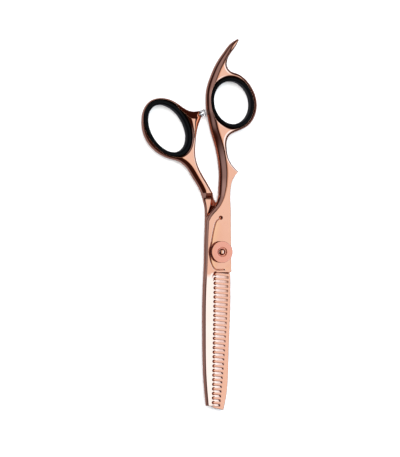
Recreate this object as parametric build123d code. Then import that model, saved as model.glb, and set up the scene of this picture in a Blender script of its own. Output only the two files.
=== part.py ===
from build123d import *
import math
import os

# Thinning shears, 6 inch class, offset handles. Millimetres.
# The shears lie flat and closed: +Z is the pivot's axis and points out of the dial's face,
# +Y runs to the finger rings, -Y to the blade tips. The origin is on the pivot's axis, at the resting plane.

# Heights of the two halves
PLATE = 3.2                      # thickness of the thumb half where the halves cross
CUT_PLANE = 3.25                 # height of the plane in which the blades shear
RUN_GAP = 0.05                   # each half's distance from the cutting plane
FINGER_TOP = 6.7                 # front face of the finger half around the pivot
HANDLE_LOW, HANDLE_HIGH = 0.35, 6.15   # both shanks and both metal rings
INSERT_HIGH = 6.5                # the inserts stand proud of the rings on both faces
HANDLE_START = 26.5              # y beyond which a shank has its full depth

# Blades
BLADE_START = -9.1               # y where the ground blades begin
BLADE_END = -71.6                # y of the tips
TOOTH_PITCH = 2.075
SLOT_COUNT = 30
SLOT_WIDTH = 0.95
FIRST_SLOT = -10.0
SLOT_ROOT = (-2.1, -2.9)         # x of the slots' roots, at the first and the last slot
BLADE_BACK_THICK = 2.9           # toothed blade's thickness at its back
BLADE_EDGE_THICK = 0.9           # and at the tooth tips
PLAIN_EDGE_THICK = 0.5           # plain blade's thickness at its cutting edge

# Finger rings: an opening and an insert round it, both ellipses on one centre
FINGER_RING = (5.92, 67.55)
FINGER_TILT = 107.0
FINGER_HOLE = (9.74, 8.42)
FINGER_SEAT = (11.95, 9.85)
THUMB_RING = (-24.22, 55.64)
THUMB_TILT = 122.3
THUMB_HOLE = (11.6, 7.7)
THUMB_SEAT = (13.8, 9.45)
INSERT_ROUND = 0.7

# Pivot hardware
SHAFT_R = 2.0
SHAFT_CLEARANCE = 0.03
HEAD_R, HEAD_HIGH = 4.2, 1.2
NECK_SIDE = 4.4                  # square neck that keys the screw to the thumb half
NECK_HIGH = 3.0
THREAD_R = 1.7
FLATS = 2.9                      # distance across the two flats that key the click plate
SPANNER_HOLE = (0.5, 0.6, 2.4)   # radius, depth and distance from the axis of the head's two holes
BUSHING_R = 3.1
WASHER_RECESS_R = 4.6
RIDE_WASHER = (2.6, 4.5, 0.3)    # inner radius, outer radius, thickness
FRICTION_WASHER = (2.3, 4.0, 0.3)
SPRING_R = (2.4, 3.9)
SPRING_THICK = 0.25
SPRING_WAVE = 0.17               # how far the wave spring's crests stand off its middle
CLICK_PLATE_R, CLICK_PLATE_THICK = 4.0, 0.45
CLICK_COUNT = 12
CLICK_CIRCLE_R = 2.9
DIAL_R, DIAL_TOP = 4.9, 9.65
DIAL_SKIRT_LOW = 6.9
DIAL_CAVITY_R = 4.2
DIAL_RECESS_R, DIAL_RECESS_DEEP = 2.1, 0.45
BALL_R = 0.4
BALL_COUNT = 2

# Bumper on the thumb ring's spur
SPUR_FACE = (-8.8, 62.2)
SPUR_ANGLE = 20.0                # bumper's axis, from +X towards +Y
BUMPER_R, BUMPER_LONG = 1.6, 2.7
STUD_R, STUD_DEEP = 0.8, 2.4
STUD_FLANGE_R, STUD_FLANGE = 1.5, 0.4

# Small features
DIMPLE_AT = (0.0, 15.4)
DIMPLE_R, DIMPLE_DEEP = 0.85, 0.7

FINGER_STACK = FINGER_TOP        # the tension hardware stands on the finger half's front face
SPRING_LOW = FINGER_STACK + FRICTION_WASHER[2]
SPRING_HIGH = SPRING_LOW + SPRING_THICK + 2 * SPRING_WAVE
PLATE_HIGH = SPRING_HIGH + CLICK_PLATE_THICK
DIAL_WEB_LOW = PLATE_HIGH + 0.05
THREAD_END = DIAL_TOP - DIAL_RECESS_DEEP

# Outlines in plan. Each list is one smooth stretch, from the handle end to the blade end.
FINGER_LEFT = [
    (8.85, 96.5), (5.8, 94.4), (3.0, 91.0), (0.42, 87.4), (-1.68, 83.8), (-3.32, 80.2),
    (-4.73, 76.6), (-5.76, 72.3), (-5.99, 68.2), (-5.76, 64.1), (-4.96, 60.1), (-4.02, 55.6),
    (-2.62, 51.0), (-1.22, 46.1), (-0.28, 41.1), (0.28, 35.2), (0.14, 29.8), (-0.42, 24.8),
    (-2.15, 20.7), (-4.9, 17.2), (-6.4, 14.2),
]
FINGER_RIGHT = [
    (9.3, 96.0), (7.5, 92.8), (5.2, 89.8), (3.6, 86.9), (3.35, 84.6), (4.7, 82.1), (8.4, 80.7),
    (12.0, 78.5), (15.2, 75.0), (17.3, 70.6), (17.9, 66.2), (17.0, 61.8), (14.4, 57.9),
    (11.0, 55.7), (7.2, 54.2), (4.4, 52.4), (3.35, 50.0), (3.25, 47.0), (3.8, 43.3),
    (5.4, 39.8), (8.6, 36.3),
]
FINGER_SPUR = [(8.6, 36.3), (6.7, 34.0), (5.5, 31.5), (4.85, 28.0), (4.7, 24.0), (4.85, 20.0)]
THUMB_LEFT = [
    (-18.1, 66.2), (-22.3, 68.6), (-26.8, 69.4), (-31.6, 68.2), (-35.0, 63.9), (-35.9, 58.7),
    (-35.0, 53.0), (-32.1, 47.9), (-27.8, 44.2), (-23.2, 42.1), (-18.6, 40.8), (-15.2, 38.2),
    (-12.2, 33.8), (-9.4, 29.4), (-7.3, 25.0), (-6.0, 20.5), (-5.8, 16.0),
]
THUMB_SPUR_TOP = [(-18.1, 66.2), (-15.4, 64.5), (-12.6, 63.5), (-9.35, 63.7)]
THUMB_RIGHT = [
    (-8.25, 60.7), (-9.6, 57.2), (-10.7, 53.2), (-11.3, 48.5), (-11.4, 43.8), (-10.3, 39.2),
    (-7.6, 34.0), (-4.4, 28.6), (-1.2, 22.8), (2.2, 18.0), (4.3, 12.5),
]
FINGER_BLADE_LEFT = [(-7.0, -4.5), (-7.6, -18.0), (-7.75, -38.0), (-7.3, -56.0), (-6.13, -69.5)]
TOOTH_TIPS = [(4.75, -9.1), (3.7, -31.7), (2.4, -50.0), (0.45, -70.3)]
PLAIN_EDGE = [(-1.7, -9.1), (-2.0, -40.0), (-2.7, -70.5)]
PLAIN_BACK = [(5.6, -11.0), (5.5, -28.0), (4.75, -46.0), (3.5, -66.0), (2.3, -71.6)]


def ellipse_solid(centre, tilt, radii, low, high):
    """An upright prism whose section is an ellipse, its long radius turned by tilt from +X."""
    face = Pos(centre[0], centre[1], low) * Rot(0, 0, tilt) * Ellipse(*radii)
    return extrude(face, high - low)


def washer(inner, outer, low, high):
    """A flat ring about the pivot's axis."""
    return Pos(0, 0, low) * extrude(Circle(outer) - Circle(inner), high - low)


def disc(radius, low, high):
    """A round disc on the pivot's axis."""
    return Pos(0, 0, low) * extrude(Circle(radius), high - low)


def plate_from(edges, low, high):
    """A flat plate between two heights whose outline is the joined edges."""
    return extrude(Pos(0, 0, low) * make_face(edges), high - low)


def corner_block(x_range, y_range, z_range):
    """A box given by its ranges."""
    size = [high - low for low, high in (x_range, y_range, z_range)]
    middle = [(high + low) / 2 for low, high in (x_range, y_range, z_range)]
    return Pos(*middle) * Box(*size)


def above_ground_face(back_x, back_z, edge_x, edge_z):
    """What a grinder takes off a blade: all that is above the slope from its back to its edge."""
    slope = (edge_z - back_z) / (edge_x - back_x)
    reach = 12.0
    left, right = min(back_x, edge_x) - reach, max(back_x, edge_x) + reach
    profile = [
        (left, back_z + slope * (left - back_x)),
        (right, back_z + slope * (right - back_x)),
        (right, back_z + 4 * reach),
        (left, back_z + 4 * reach),
    ]
    section = Plane.XZ.offset(-BLADE_START) * make_face(Polyline(*profile, close=True).edges())
    return extrude(section, BLADE_START - BLADE_END + 5.0)


def finger_plan_edges():
    """The finger half's outline, tang and ring included."""
    left = Spline(*FINGER_LEFT)
    right = Spline(*FINGER_RIGHT)
    spur = Spline(*FINGER_SPUR)
    end = Line(FINGER_LEFT[0], FINGER_RIGHT[0])
    side = Line(FINGER_SPUR[-1], (5.1, BLADE_START))
    shoulder = Line((5.1, BLADE_START), TOOTH_TIPS[0])
    tips = Spline(*TOOTH_TIPS)
    nose = Line(TOOTH_TIPS[-1], FINGER_BLADE_LEFT[-1])
    back = Spline(*FINGER_BLADE_LEFT)
    flank = Line(FINGER_BLADE_LEFT[0], FINGER_LEFT[-1])
    parts = (left, right, spur, end, side, shoulder, tips, nose, back, flank)
    return [edge for part in parts for edge in part.edges()]


def thumb_plan_edges():
    """The thumb half's outline, ring and spur included."""
    left = Spline(*THUMB_LEFT)
    spur_top = Spline(*THUMB_SPUR_TOP)
    spur_end = Line(THUMB_SPUR_TOP[-1], THUMB_RIGHT[0])
    right = Spline(*THUMB_RIGHT)
    side = Line(THUMB_RIGHT[-1], (4.8, -7.0))
    shoulder = Line((4.8, -7.0), PLAIN_BACK[0])
    back = Spline(*PLAIN_BACK)
    nose = Line(PLAIN_BACK[-1], PLAIN_EDGE[-1])
    cutting = Spline(*reversed(PLAIN_EDGE))
    heel = Line(PLAIN_EDGE[0], (-5.9, -7.0))
    flank = Line((-5.9, -7.0), THUMB_LEFT[-1])
    parts = (left, spur_top, spur_end, right, side, shoulder, back, nose, cutting, heel, flank)
    return [edge for part in parts for edge in part.edges()]


def deep_handle(plan, low, high):
    """The shank and ring end of a half, at its full depth."""
    full = plate_from(plan, low, high)
    return full & corner_block((-60, 60), (HANDLE_START, 120), (low - 1, high + 1))


def slot_cutters():
    """The spaces between the teeth: parallel slots with round roots, open at the tooth tips."""
    cutters = []
    for k in range(SLOT_COUNT):
        y = FIRST_SLOT - TOOTH_PITCH * k
        root = SLOT_ROOT[0] + (SLOT_ROOT[1] - SLOT_ROOT[0]) * k / (SLOT_COUNT - 1)
        mouth = 7.0
        span = corner_block(
            (root, mouth), (y - SLOT_WIDTH / 2, y + SLOT_WIDTH / 2), (CUT_PLANE - 1, FINGER_TOP + 1)
        )
        end = Pos(root, y, CUT_PLANE - 1) * extrude(Circle(SLOT_WIDTH / 2), FINGER_TOP - CUT_PLANE + 2)
        cutters += [span, end]
    return cutters


def finger_half():
    """Front half: tang, finger ring, spur, pivot plate and toothed blade in one forging."""
    plan = finger_plan_edges()
    face_low = CUT_PLANE + RUN_GAP
    plate = plate_from(plan, face_low, FINGER_TOP)
    plate &= corner_block((-60, 60), (-90, HANDLE_START + 1.5), (0, 20))
    half = plate + deep_handle(plan, HANDLE_LOW, HANDLE_HIGH)
    half -= above_ground_face(-6.5, face_low + BLADE_BACK_THICK, 4.0, face_low + BLADE_EDGE_THICK)
    half -= ellipse_solid(FINGER_RING, FINGER_TILT, FINGER_SEAT, -1, 10)
    half -= slot_cutters()
    half -= disc(BUSHING_R, 0, 10)
    half -= disc(WASHER_RECESS_R, face_low - 1, CUT_PLANE + RIDE_WASHER[2] / 2)
    half -= Pos(*DIMPLE_AT, FINGER_TOP - DIMPLE_DEEP / 2) * Cylinder(DIMPLE_R, DIMPLE_DEEP)
    return half


def thumb_half():
    """Rear half: thumb ring, spur, pivot plate and plain blade in one forging."""
    plan = thumb_plan_edges()
    plate = plate_from(plan, 0, PLATE)
    plate &= corner_block((-60, 60), (-90, HANDLE_START + 1.5), (-1, 20))
    half = plate + deep_handle(plan, HANDLE_LOW, HANDLE_HIGH)
    grind = above_ground_face(5.0, 3.0, -1.9, PLAIN_EDGE_THICK)
    half -= Pos(0, 0, PLATE) * mirror(grind, about=Plane.XY)
    half -= ellipse_solid(THUMB_RING, THUMB_TILT, THUMB_SEAT, -1, 10)
    half -= disc(HEAD_R + SHAFT_CLEARANCE, -1, HEAD_HIGH)
    half -= Pos(0, 0, 2) * Box(NECK_SIDE, NECK_SIDE, 6)
    half -= disc(WASHER_RECESS_R, CUT_PLANE - RIDE_WASHER[2] / 2, PLATE + 1)
    half -= spur_placed(Cylinder(STUD_R, STUD_DEEP), -STUD_DEEP / 2)
    return half


def spur_placed(solid, along):
    """Turn a solid made along +Z onto the bumper's axis, its middle at a distance from the spur's face."""
    height = (HANDLE_LOW + HANDLE_HIGH) / 2
    place = Pos(SPUR_FACE[0], SPUR_FACE[1], height) * Rot(0, 0, SPUR_ANGLE) * Rot(0, 90, 0)
    return place * Pos(0, 0, along) * solid


def ring_insert(centre, tilt, seat, hole):
    """Soft ring pressed into a finger ring, with rounded rims."""
    body = ellipse_solid(centre, tilt, seat, 0, INSERT_HIGH)
    body -= ellipse_solid(centre, tilt, hole, -1, INSERT_HIGH + 1)
    rims = [edge for edge in body.edges() if edge.is_closed]
    return fillet(rims, INSERT_ROUND)


def bumper_stud():
    """Stud screwed into the spur, with a flange that the pad seats on."""
    stem = spur_placed(Cylinder(STUD_R, STUD_DEEP), -STUD_DEEP / 2)
    flange = spur_placed(Cylinder(STUD_FLANGE_R, STUD_FLANGE), STUD_FLANGE / 2)
    post = spur_placed(Cylinder(STUD_R, 1.2), STUD_FLANGE + 0.6)
    return stem + flange + post


def bumper_pad():
    """Soft stop pushed over the stud, which the finger half's shank closes on."""
    long = BUMPER_LONG - STUD_FLANGE
    pad = Cylinder(BUMPER_R, long)
    pad = fillet(pad.edges(), 0.3)
    pad = spur_placed(pad, STUD_FLANGE + long / 2)
    return pad - spur_placed(Cylinder(STUD_R, 1.2), STUD_FLANGE + 0.6)


def pivot_screw():
    """Flat head with two spanner holes, square neck, plain shaft, and a flatted end that holds plate and dial."""
    head = disc(HEAD_R, 0, HEAD_HIGH)
    radius, deep, offset = SPANNER_HOLE
    for side in (-1, 1):
        head -= Pos(side * offset, 0, deep / 2) * Cylinder(radius, deep)
    neck = Pos(0, 0, (HEAD_HIGH + NECK_HIGH) / 2) * Box(NECK_SIDE, NECK_SIDE, NECK_HIGH - HEAD_HIGH)
    shaft = disc(SHAFT_R, NECK_HIGH, SPRING_HIGH)
    end = disc(THREAD_R, SPRING_HIGH, THREAD_END)
    flatted = end & corner_block((-5, 5), (-FLATS / 2, FLATS / 2), (SPRING_HIGH, PLATE_HIGH))
    threaded = end & corner_block((-5, 5), (-5, 5), (PLATE_HIGH, THREAD_END))
    return head + neck + shaft + flatted + threaded


def pivot_bushing():
    """Bearing sleeve pressed into the finger half's bore."""
    return washer(SHAFT_R + SHAFT_CLEARANCE, BUSHING_R, CUT_PLANE + RIDE_WASHER[2] / 2, FINGER_TOP)


def ride_washer():
    """Slippery washer in the recesses between the halves."""
    inner, outer, thick = RIDE_WASHER
    return washer(inner, outer, CUT_PLANE - thick / 2, CUT_PLANE + thick / 2)


def friction_washer():
    """Washer that the wave spring presses on the finger half's front face."""
    inner, outer, thick = FRICTION_WASHER
    return washer(inner, outer, FINGER_STACK, FINGER_STACK + thick)


def wave_spring():
    """Spring washer bent into three waves, lofted from radial sections round the axis."""
    sections = []
    steps = 36
    for k in range(steps):
        angle = 360.0 * k / steps
        middle = SPRING_LOW + SPRING_THICK / 2 + SPRING_WAVE * (1 + math.sin(math.radians(3 * angle)))
        plane = Plane(origin=(0, 0, 0), x_dir=(1, 0, 0), z_dir=(0, -1, 0)).rotated((0, 0, angle))
        wide = SPRING_R[1] - SPRING_R[0]
        sections.append(plane * Pos((SPRING_R[0] + SPRING_R[1]) / 2, middle) * Rectangle(wide, SPRING_THICK))
    half = steps // 2
    first = loft(sections[: half + 1])
    second = loft(sections[half:] + [sections[0]])
    return first + second


def click_plate():
    """Plate keyed to the screw's flats, with a circle of dimples for the dial's balls."""
    plate = disc(CLICK_PLATE_R, SPRING_HIGH, PLATE_HIGH)
    hole = Circle(THREAD_R) & Rectangle(4 * THREAD_R, FLATS)
    plate -= extrude(Pos(0, 0, SPRING_HIGH - 1) * hole, CLICK_PLATE_THICK + 2)
    for k in range(CLICK_COUNT):
        turn = Rot(0, 0, 360.0 * k / CLICK_COUNT)
        plate -= turn * Pos(CLICK_CIRCLE_R, 0, PLATE_HIGH) * Cylinder(0.3, 0.3)
    return plate


def ball_places():
    """Places round the axis where the dial carries a ball and its spring."""
    return [Rot(0, 0, 360.0 * k / BALL_COUNT) * Pos(CLICK_CIRCLE_R, 0, 0) for k in range(BALL_COUNT)]


def detent_balls():
    """Balls that click from dimple to dimple as the dial turns."""
    return [place * Pos(0, 0, PLATE_HIGH + BALL_R) * Sphere(BALL_R) for place in ball_places()]


def detent_springs():
    """A short spring above each ball, as a plain pad of the coil's outer size."""
    low = PLATE_HIGH + 2 * BALL_R
    return [place * Pos(0, 0, low + 0.1) * Cylinder(BALL_R - 0.05, 0.2) for place in ball_places()]


def tension_dial():
    """Round adjusting dial: a cup over the washers, threaded on the screw's end."""
    dial = disc(DIAL_R, DIAL_SKIRT_LOW, DIAL_TOP)
    top_rims = [edge for edge in dial.edges() if edge.center().Z > DIAL_TOP - 0.01]
    dial = fillet(top_rims, 0.25)
    dial -= disc(DIAL_CAVITY_R, DIAL_SKIRT_LOW - 1, DIAL_WEB_LOW)
    dial -= disc(DIAL_RECESS_R, DIAL_TOP - DIAL_RECESS_DEEP, DIAL_TOP + 1)
    dial -= disc(THREAD_R + SHAFT_CLEARANCE, DIAL_WEB_LOW - 1, DIAL_TOP)
    for place in ball_places():
        deep = PLATE_HIGH + 2 * BALL_R + 0.25
        dial -= place * Pos(0, 0, (DIAL_WEB_LOW + deep) / 2) * Cylinder(BALL_R + 0.03, deep - DIAL_WEB_LOW)
    return dial


def screw_cap():
    """Polished dome pressed into the dial's recess, over the screw's end."""
    radius = DIAL_RECESS_R - 0.02
    rise = 0.6
    ball_r = (radius**2 + rise**2) / (2 * rise)
    dome = Pos(0, 0, THREAD_END + rise + 0.1 - ball_r) * Sphere(ball_r)
    return dome & disc(radius, THREAD_END + 0.02, THREAD_END + 2)


def main():
    """Make every piece and write one STEP file for each."""
    os.makedirs("parts", exist_ok=True)
    pieces = {
        "finger_half": finger_half(),
        "thumb_half": thumb_half(),
        "finger_ring_insert": ring_insert(FINGER_RING, FINGER_TILT, FINGER_SEAT, FINGER_HOLE),
        "thumb_ring_insert": ring_insert(THUMB_RING, THUMB_TILT, THUMB_SEAT, THUMB_HOLE),
        "bumper_stud": bumper_stud(),
        "bumper_pad": bumper_pad(),
        "pivot_screw": pivot_screw(),
        "pivot_bushing": pivot_bushing(),
        "ride_washer": ride_washer(),
        "friction_washer": friction_washer(),
        "wave_spring": wave_spring(),
        "click_plate": click_plate(),
        "detent_balls": Compound(children=detent_balls()),
        "detent_springs": Compound(children=detent_springs()),
        "tension_dial": tension_dial(),
        "screw_cap": screw_cap(),
    }
    for name, shape in pieces.items():
        export_step(shape, f"parts/{name}.step")


main()
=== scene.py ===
"""Rose gold thinning shears, lying closed on a pale table.

Lengths are in millimetres while a shape is worked out, and become metres when its mesh is made. The plan of
each forging is a closed loop of runs. Its front and back faces are heights over that plan: a level, less what
the edges' bevels take off, so every point of a face is a function of its two places in the plan.
"""

import logging
import math
from dataclasses import dataclass
from enum import Enum
from functools import cache

import bpy
import numpy as np
from mathutils import Matrix, Vector
from mathutils.geometry import delaunay_2d_cdt


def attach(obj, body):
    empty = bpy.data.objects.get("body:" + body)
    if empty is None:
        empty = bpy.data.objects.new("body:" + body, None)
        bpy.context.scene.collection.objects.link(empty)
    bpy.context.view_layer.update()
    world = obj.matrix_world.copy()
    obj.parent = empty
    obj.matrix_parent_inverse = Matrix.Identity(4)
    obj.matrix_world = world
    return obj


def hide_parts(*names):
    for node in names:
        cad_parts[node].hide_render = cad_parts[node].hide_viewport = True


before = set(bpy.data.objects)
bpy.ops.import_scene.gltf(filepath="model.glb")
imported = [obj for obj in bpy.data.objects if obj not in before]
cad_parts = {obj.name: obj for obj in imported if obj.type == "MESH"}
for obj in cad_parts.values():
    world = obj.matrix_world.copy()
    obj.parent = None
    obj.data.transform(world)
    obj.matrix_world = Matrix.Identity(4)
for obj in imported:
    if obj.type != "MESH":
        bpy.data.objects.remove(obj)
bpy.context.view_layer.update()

log = logging.getLogger("shears")
MM = 0.001
Array = np.ndarray


class Face(Enum):
    """The two faces of a forging. The value is the direction in which the face looks along Z."""

    FRONT = 1
    BACK = -1


# ---------------------------------------------------------------- shader expressions


class Wire:
    """An output socket that Python's operators work on, each adding one Math node."""

    def __init__(self, tree: bpy.types.NodeTree, socket: bpy.types.NodeSocket) -> None:
        """Keep the tree and the socket."""
        self.tree = tree
        self.socket = socket

    def math(self, operation: str, *values: "float | Wire") -> "Wire":
        """Add a Math node.

        Args:
            operation: the node's operation, such as ADD.
            values: its inputs, numbers or wires.

        Returns:
            The node's output.
        """
        node = self.tree.nodes.new("ShaderNodeMath")
        node.operation = operation
        for socket, value in zip(node.inputs, values):
            if isinstance(value, Wire):
                self.tree.links.new(value.socket, socket)
            else:
                socket.default_value = value
        return Wire(self.tree, node.outputs[0])

    def __add__(self, other: "float | Wire") -> "Wire":
        """Sum."""
        return self.math("ADD", self, other)

    def __radd__(self, other: float) -> "Wire":
        """Sum, reflected."""
        return self.math("ADD", other, self)

    def __sub__(self, other: "float | Wire") -> "Wire":
        """Difference."""
        return self.math("SUBTRACT", self, other)

    def __rsub__(self, other: float) -> "Wire":
        """Difference, reflected."""
        return self.math("SUBTRACT", other, self)

    def __mul__(self, other: "float | Wire") -> "Wire":
        """Product."""
        return self.math("MULTIPLY", self, other)

    def __rmul__(self, other: float) -> "Wire":
        """Product, reflected."""
        return self.math("MULTIPLY", other, self)


class Nodes:
    """A node tree with one way to add a node."""

    def __init__(self, tree: bpy.types.NodeTree) -> None:
        """Start from an empty tree."""
        self.tree = tree
        tree.nodes.clear()

    def add(self, kind: str, settings: dict | None = None, **inputs: object) -> bpy.types.Node:
        """Add a node.

        Args:
            kind: the node's type without its ShaderNode prefix.
            settings: properties, and "stops" for a ramp, set before the inputs.
            inputs: values or wires by socket name, with _ for a space.

        Returns:
            The new node.
        """
        node = self.tree.nodes.new("ShaderNode" + kind)
        for name, value in (settings or {}).items():
            if name == "stops":
                self.fill_ramp(node, value)
            else:
                setattr(node, name, value)
        for name, value in inputs.items():
            socket = self.socket(node, name.replace("_", " "))
            if isinstance(value, Wire):
                self.tree.links.new(value.socket, socket)
            else:
                socket.default_value = value
        return node

    @staticmethod
    def socket(node: bpy.types.Node, name: str) -> bpy.types.NodeSocket:
        """The enabled input of a node with that name."""
        return next(s for s in node.inputs if s.name == name and s.enabled)

    @staticmethod
    def fill_ramp(node: bpy.types.Node, stops: list[tuple[float, tuple]]) -> None:
        """Give a colour ramp its stops.

        Args:
            node: the ramp.
            stops: the place and colour of each stop.
        """
        elements = node.color_ramp.elements
        while len(elements) < len(stops):
            elements.new(1.0)
        for element, (place, colour) in zip(elements, stops):
            element.position = place
            element.color = colour

    def wire(self, node: bpy.types.Node, output: str | int = 0) -> Wire:
        """An output of a node as a wire.

        Args:
            node: the node.
            output: the output's name or number.

        Returns:
            The wire.
        """
        if isinstance(output, str):
            return Wire(self.tree, next(s for s in node.outputs if s.name == output and s.enabled))
        return Wire(self.tree, node.outputs[output])

    def noise(self, place: Wire, scale: float, detail: float = 2.0, roughness: float = 0.5) -> Wire:
        """Noise from 0 to 1 at a scale, over a place."""
        node = self.add("TexNoise", Vector=place, Scale=scale, Detail=detail, Roughness=roughness)
        return self.wire(node, 0)

    def mix(self, factor: "float | Wire", first: object, second: object) -> Wire:
        """Mix two colours."""
        node = self.add("Mix", {"data_type": "RGBA"}, Factor=factor, A=first, B=second)
        return self.wire(node, "Result")


def rgba(red: float, green: float, blue: float) -> tuple[float, float, float, float]:
    """An opaque colour."""
    return (red, green, blue, 1.0)


# ---------------------------------------------------------------- finishes


@dataclass(frozen=True)
class Finish:
    """What every finish has: a name, a colour, and how much its colour and gloss wander."""

    name: str
    colour: tuple[float, float, float]
    roughness: float = 0.4
    wander: float = 0.08

    def build(self) -> bpy.types.Material:
        """Make the material from the finish's own shader."""
        material = bpy.data.materials.new(self.name)
        material.use_nodes = True
        nodes = Nodes(material.node_tree)
        shader = self.shader(nodes)
        nodes.add("OutputMaterial", Surface=nodes.wire(shader))
        return material

    def place(self, nodes: Nodes, stretch: tuple[float, float, float] = (1.0, 1.0, 1.0)) -> Wire:
        """Object coordinates, stretched along the axes."""
        coordinates = nodes.wire(nodes.add("TexCoord"), "Object")
        return nodes.wire(nodes.add("Mapping", Vector=coordinates, Scale=stretch))

    def mottle(self, nodes: Nodes, scale: float, detail: float, shade: float) -> tuple[Wire, Wire]:
        """Clouds, and a colour that drifts with them.

        Args:
            nodes: the material's nodes.
            scale: the clouds' scale.
            detail: how many finer layers they have.
            shade: what the finish's colour is multiplied by where the clouds are thickest.

        Returns:
            The clouds, from 0 to 1, and the colour.
        """
        cloud = nodes.noise(self.place(nodes), scale, detail)
        return cloud, nodes.mix(cloud, rgba(*self.colour), rgba(*(c * shade for c in self.colour)))

    def gloss(self, pattern: Wire) -> Wire:
        """The roughness, which wanders with a pattern from 0 to 1."""
        return self.roughness + self.wander * (pattern - 0.5)

    def shader(self, nodes: Nodes) -> bpy.types.Node:
        """The finish's surface shader.

        Args:
            nodes: the material's nodes.

        Returns:
            The shader node.
        """
        raise NotImplementedError


@dataclass(frozen=True)
class PolishedCoating(Finish):
    """Mirror polish under a thin coloured coating, with the faint lines of the last wheel."""

    deep: tuple[float, float, float] = (0.85, 0.455, 0.325)
    glint: tuple[float, float, float] = (1.0, 0.72, 0.62)
    cloud_scale: float = 60.0
    speck_scale: float = 2600.0
    line_scale: float = 900.0
    line_stretch: tuple[float, float, float] = (1.0, 0.06, 1.0)
    line_depth: float = 0.0000006

    def shader(self, nodes: Nodes) -> bpy.types.Node:
        """Coloured metal whose tint and gloss drift, with fine lines that barely break the mirror.

        Args:
            nodes: the material's nodes.

        Returns:
            The shader node.
        """
        cloud = nodes.noise(self.place(nodes), self.cloud_scale, 3.0)
        lines = nodes.noise(self.place(nodes, self.line_stretch), self.line_scale, 3.0, 0.65)
        specks = nodes.noise(self.place(nodes), self.speck_scale, 2.0)
        tint = nodes.mix(cloud * 1.4 - 0.2, rgba(*self.deep), rgba(*self.colour))
        bump = nodes.add("Bump", Height=lines + specks * 0.3, Distance=self.line_depth, Strength=1.0)
        return nodes.add(
            "BsdfPrincipled",
            Base_Color=tint,
            Metallic=1.0,
            Roughness=self.gloss(cloud * 0.5 + lines * 0.5),
            Specular_Tint=rgba(*self.glint),
            Normal=nodes.wire(bump),
        )


@dataclass(frozen=True)
class TurnedMetal(Finish):
    """Bare metal turned on a lathe about the pivot's axis."""

    cloud_scale: float = 400.0
    ring_scale: float = 1600.0
    ring_depth: float = 0.000002

    def shader(self, nodes: Nodes) -> bpy.types.Node:
        """Metal with rings about the Z axis in its gloss and its normal.

        Args:
            nodes: the material's nodes.

        Returns:
            The shader node.
        """
        _, tint = self.mottle(nodes, self.cloud_scale, 2.0, 0.82)
        rings = nodes.add(
            "TexWave",
            {"wave_type": "RINGS", "rings_direction": "Z"},
            Vector=self.place(nodes),
            Scale=self.ring_scale,
            Distortion=0.6,
        )
        ring = nodes.wire(rings, 1)
        bump = nodes.add("Bump", Height=ring, Distance=self.ring_depth, Strength=0.4)
        return nodes.add(
            "BsdfPrincipled",
            Base_Color=tint,
            Metallic=1.0,
            Roughness=self.gloss(ring),
            Normal=nodes.wire(bump),
        )


@dataclass(frozen=True)
class SoftRubber(Finish):
    """Moulded rubber with a skin of fine pores."""

    cloud_scale: float = 120.0
    pore_scale: float = 5200.0
    pore_depth: float = 0.000006

    def shader(self, nodes: Nodes) -> bpy.types.Node:
        """Dark body with pores in the normal and hand wear in the gloss.

        Args:
            nodes: the material's nodes.

        Returns:
            The shader node.
        """
        cloud, tint = self.mottle(nodes, self.cloud_scale, 3.0, 1.9)
        pores = nodes.noise(self.place(nodes), self.pore_scale, 2.0, 0.6)
        bump = nodes.add("Bump", Height=pores, Distance=self.pore_depth, Strength=0.35)
        return nodes.add(
            "BsdfPrincipled",
            Base_Color=tint,
            Roughness=self.gloss(cloud),
            Specular_IOR_Level=0.06,
            Normal=nodes.wire(bump),
        )


@dataclass(frozen=True)
class FrostedSilicone(Finish):
    """Clear grey silicone, slightly cloudy."""

    cloud_scale: float = 900.0

    def shader(self, nodes: Nodes) -> bpy.types.Node:
        """Grey body that lets nearly all the light through.

        Args:
            nodes: the material's nodes.

        Returns:
            The shader node.
        """
        cloud, tint = self.mottle(nodes, self.cloud_scale, 2.0, 0.86)
        return nodes.add(
            "BsdfPrincipled",
            Base_Color=tint,
            Roughness=self.gloss(cloud),
            Transmission_Weight=0.9,
            IOR=1.41,
        )


@dataclass(frozen=True)
class MouldedPlastic(Finish):
    """Plain moulded plastic."""

    cloud_scale: float = 700.0
    mottle_depth: float = 0.000005

    def shader(self, nodes: Nodes) -> bpy.types.Node:
        """Body colour with a soft mottle.

        Args:
            nodes: the material's nodes.

        Returns:
            The shader node.
        """
        cloud, tint = self.mottle(nodes, self.cloud_scale, 3.0, 0.9)
        bump = nodes.add("Bump", Height=cloud, Distance=self.mottle_depth, Strength=0.3)
        return nodes.add(
            "BsdfPrincipled", Base_Color=tint, Roughness=self.gloss(cloud), Normal=nodes.wire(bump)
        )


ROSE_GOLD = PolishedCoating("rose_gold_polish", (0.91, 0.525, 0.39), 0.06, 0.04)
ROSE_GOLD_DIAL = PolishedCoating(
    "rose_gold_satin",
    (0.88, 0.42, 0.33),
    0.1,
    0.05,
    deep=(0.8, 0.36, 0.27),
    line_stretch=(1.0, 1.0, 1.0),
)
RING_RUBBER = SoftRubber("moulded_rubber", (0.0009, 0.001, 0.0013), 0.34, 0.12)
BUMPER_SILICONE = FrostedSilicone("clear_silicone", (0.62, 0.63, 0.65), 0.12, 0.06)
SCREW_STEEL = TurnedMetal("screw_metal", (0.88, 0.56, 0.46), 0.14, 0.08)
BARE_STEEL = TurnedMetal("bright_steel", (0.66, 0.66, 0.68), 0.22, 0.1)
BUSHING_BRASS = TurnedMetal("turned_brass", (0.78, 0.58, 0.30), 0.28, 0.1)
SLIP_PLASTIC = MouldedPlastic("moulded_plastic", (0.86, 0.85, 0.81), 0.45, 0.1)
TABLE_PAPER = MouldedPlastic("table_paper", (0.93, 0.93, 0.93), 0.9, 0.05)


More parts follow.
